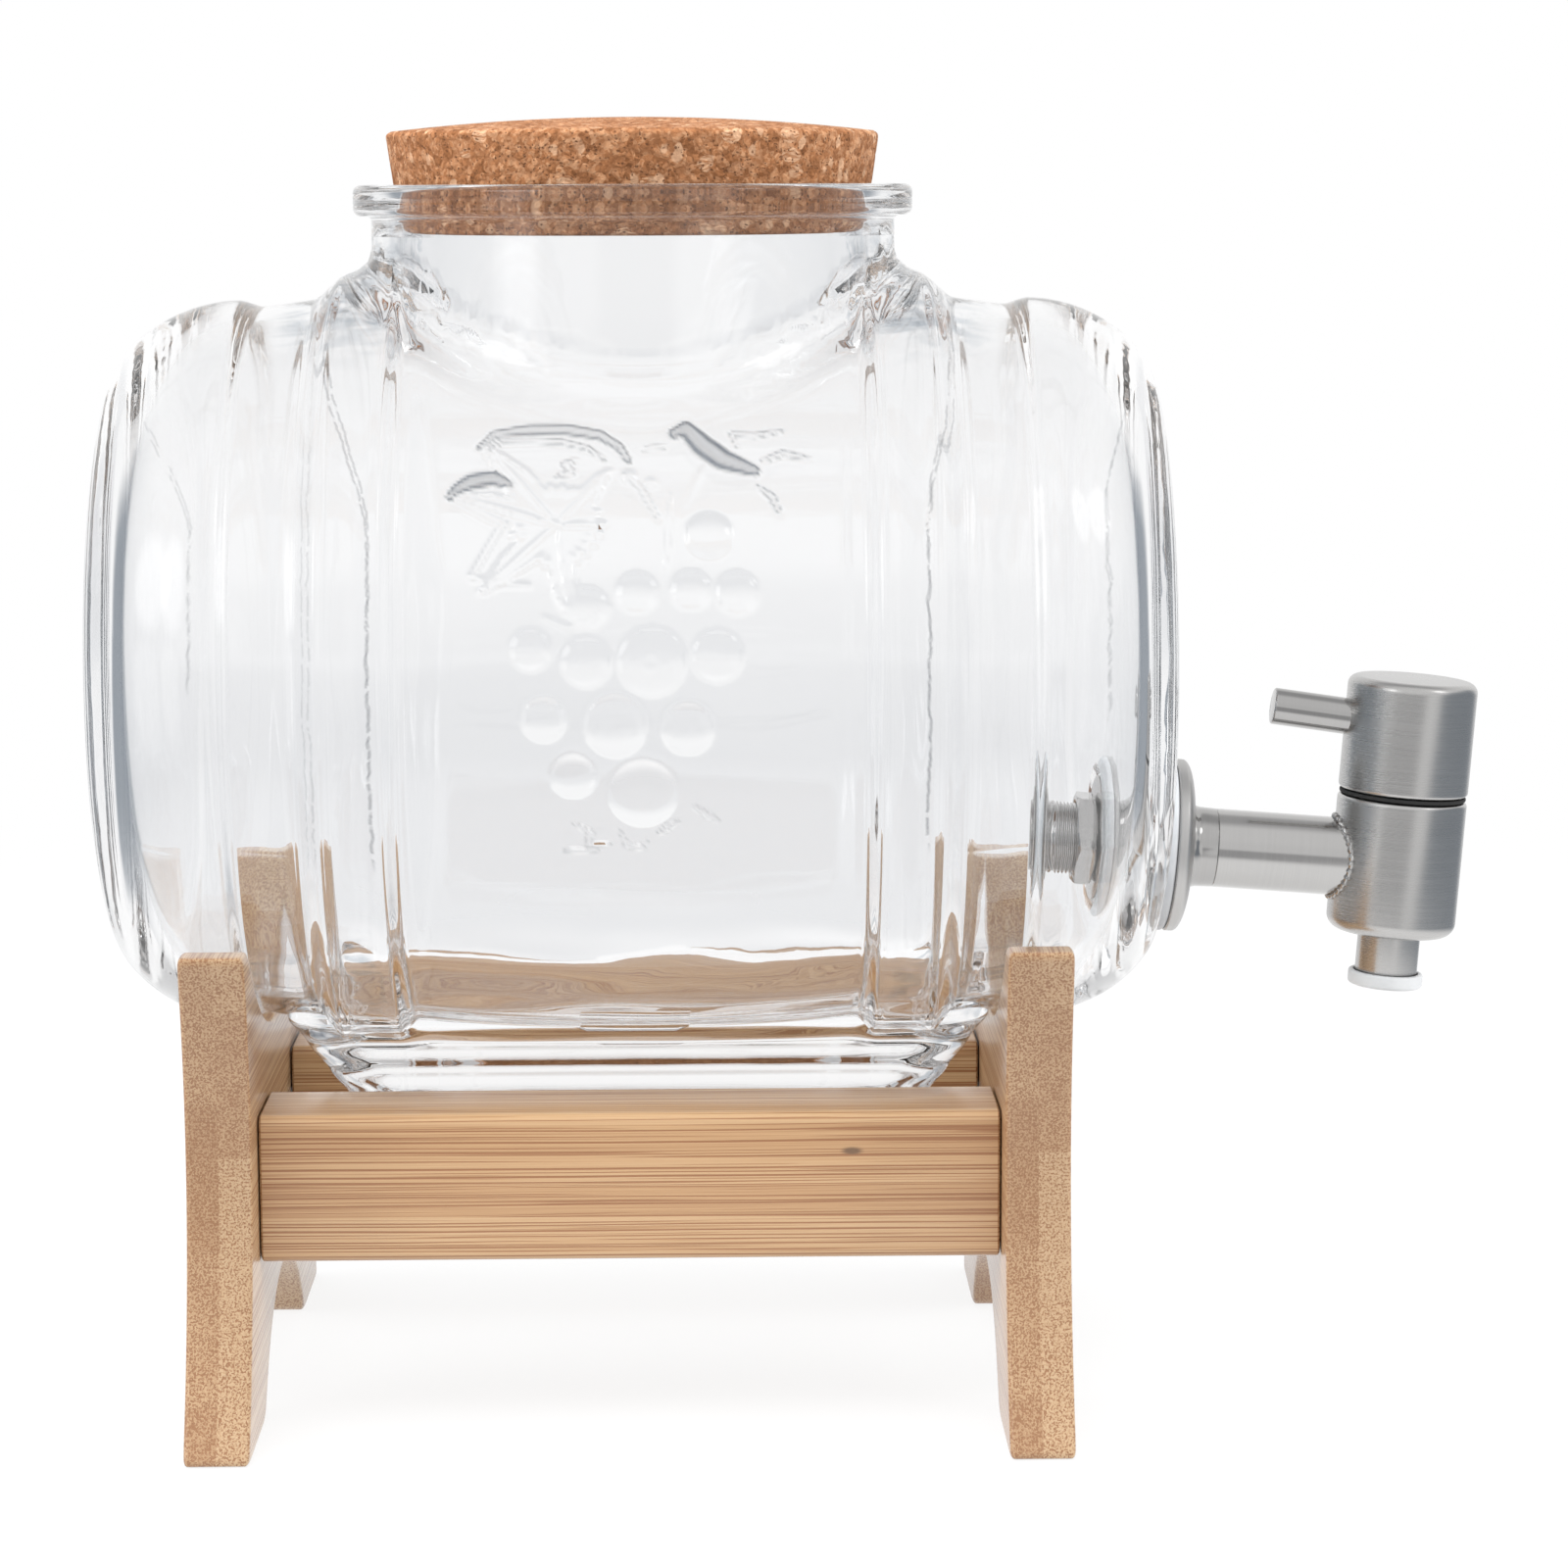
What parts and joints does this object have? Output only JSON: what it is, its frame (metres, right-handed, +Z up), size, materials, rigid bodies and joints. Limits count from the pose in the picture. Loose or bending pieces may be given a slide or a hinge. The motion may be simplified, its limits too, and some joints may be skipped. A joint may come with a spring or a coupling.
{
  "type": "glass beverage dispenser",
  "caption": "Barrel-shaped glass drink jar lying in a bamboo stand, with a cork stopper in its neck and a steel tap with a turning knob in one end.",
  "frame": {"origin": "on the floor, under the middle of the whole object's box", "axes": "+X along the barrel towards the tap, +Y to the back, +Z up"},
  "size_m": [0.2842, 0.1586, 0.261],
  "materials": {
    "bamboo": "laminated bamboo with fine stripes, satin clear lacquer",
    "dowel_wood": "plain turned beech",
    "clear_glass": "clear moulded glass with a faint blue-grey tint at thick edges",
    "pressed_cork": "pressed cork granules, matte",
    "brushed_steel": "brushed stainless steel",
    "grey_silicone": "light grey silicone",
    "white_silicone": "white silicone",
    "black_rubber": "black rubber",
    "clear_silicone": "milky clear silicone",
    "white_nylon": "white nylon"
  },
  "bodies": {
    "stand": {"left_end_frame": "bamboo", "right_end_frame": "bamboo", "front_rail": "bamboo", "rear_rail": "bamboo", "dowel_left_front_lower": "dowel_wood", "dowel_left_front_upper": "dowel_wood", "dowel_left_rear_lower": "dowel_wood", "dowel_left_rear_upper": "dowel_wood", "dowel_right_front_lower": "dowel_wood", "dowel_right_front_upper": "dowel_wood", "dowel_right_rear_lower": "dowel_wood", "dowel_right_rear_upper": "dowel_wood"},
    "jar": {"glass_jar": "clear_glass", "outer_gasket": "grey_silicone", "tap_flange": "brushed_steel", "threaded_shank": "brushed_steel", "inner_gasket": "white_silicone", "inner_washer": "brushed_steel", "lock_nut": "brushed_steel", "inlet_pipe": "brushed_steel", "tap_body": "brushed_steel", "outlet_tube": "brushed_steel", "outlet_tip": "clear_silicone", "cap_nut": "brushed_steel", "bearing_ring": "black_rubber"},
    "stopper": {"cork_stopper": "pressed_cork"},
    "knob": {"valve_core": "white_nylon", "lower_o_ring": "black_rubber", "upper_o_ring": "black_rubber", "knob_shell": "brushed_steel", "lever_pin": "brushed_steel"}
  },
  "joints": [
    {"name": "jar_lift", "type": "slide", "parent": "stand", "child": "jar", "axis": [0, 0, 1], "range_m": [0, 0.06]},
    {"name": "cork_lift", "type": "slide", "parent": "jar", "child": "stopper", "axis": [0, 0, 1], "range_m": [0, 0.06]},
    {"name": "knob_turn", "type": "hinge", "parent": "jar", "child": "knob", "pos_m": [0.12604, 0, 0.10658], "axis": [0.0769, 0, 0.997], "range_deg": [0, 90]}
  ]
}
